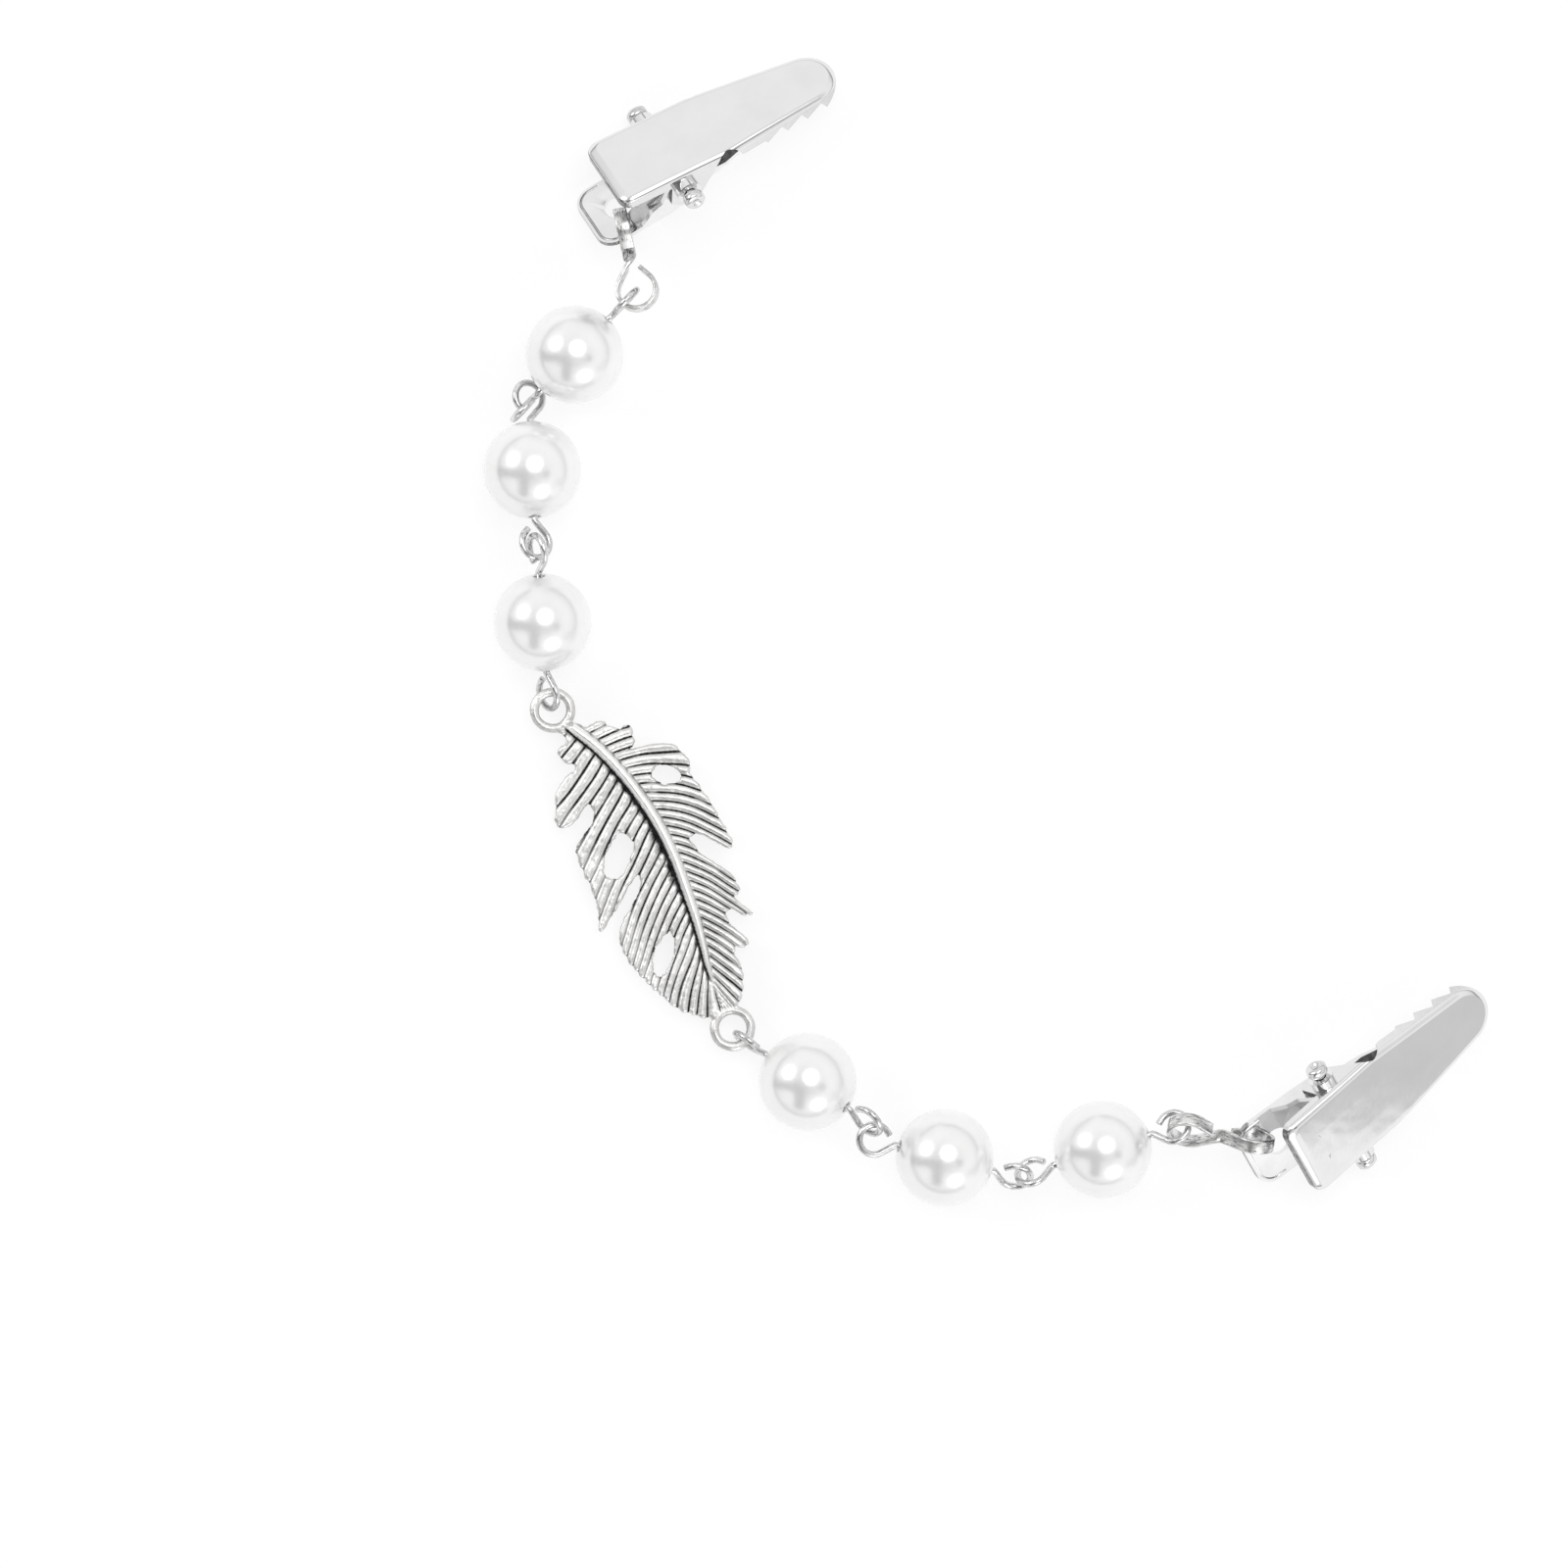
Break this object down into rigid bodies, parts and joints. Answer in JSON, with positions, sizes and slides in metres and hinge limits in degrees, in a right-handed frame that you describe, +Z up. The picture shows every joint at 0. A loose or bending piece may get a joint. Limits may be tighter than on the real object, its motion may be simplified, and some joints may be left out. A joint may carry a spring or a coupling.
{
  "type": "sweater clip",
  "caption": "Sweater clip: sprung toothed clips at both ends of a string of round pearls on wire eye pins, with a cast metal feather in the middle and flat ribbon links.",
  "frame": {"origin": "on the table, under the middle of the whole jewel as it lies", "axes": "+Z up from the table; +Y away from the viewer, along the longest extent, towards clip a; +X to the right, towards clip b"},
  "size_m": [0.1022, 0.117, 0.0117],
  "materials": {
    "clip_plate": "bright nickel plate, mirror polished",
    "clip_lever": "bright nickel plate, slightly dulled inside",
    "hinge_pin": "bright nickel plate",
    "spring_wire": "drawn spring wire",
    "ribbon_link": "brushed lengthwise, silver plated",
    "pearl": "white pearl lacquer with a soft sheen",
    "eye_pin_wire": "silver plated wire",
    "feather_metal": "antique silver: dark grooves, bright rubbed ridges"
  },
  "bodies": {
    "string": {"lower_jaw_a": "clip_lever", "hinge_pin_a": "hinge_pin", "spring_a": "spring_wire", "figure_8_link_a": "ribbon_link", "pearl_1": "pearl", "eye_pin_1": "eye_pin_wire", "pearl_2": "pearl", "eye_pin_2": "eye_pin_wire", "pearl_3": "pearl", "eye_pin_3": "eye_pin_wire", "feather": "feather_metal", "pearl_4": "pearl", "eye_pin_4": "eye_pin_wire", "pearl_5": "pearl", "eye_pin_5": "eye_pin_wire", "pearl_6": "pearl", "eye_pin_6": "eye_pin_wire", "figure_8_link_b": "ribbon_link", "spring_b": "spring_wire", "hinge_pin_b": "hinge_pin", "lower_jaw_b": "clip_lever"},
    "jaw_a": {"upper_jaw_a": "clip_plate"},
    "jaw_b": {"upper_jaw_b": "clip_plate"}
  },
  "joints": [
    {"name": "jaw_a_opening", "type": "hinge", "parent": "string", "child": "jaw_a", "pos_m": [-0.0326, 0.04807, 0.00513], "axis": [0.4464, -0.6824, 0.5789], "range_deg": [0, 20], "stiffness_Nm_per_rad": 0.04, "springref_deg": -20.05},
    {"name": "jaw_b_opening", "type": "hinge", "parent": "string", "child": "jaw_b", "pos_m": [0.03592, -0.04911, 0.00633], "axis": [0.4159, -0.7104, -0.5678], "range_deg": [0, 20], "stiffness_Nm_per_rad": 0.04, "springref_deg": -20.05}
  ]
}
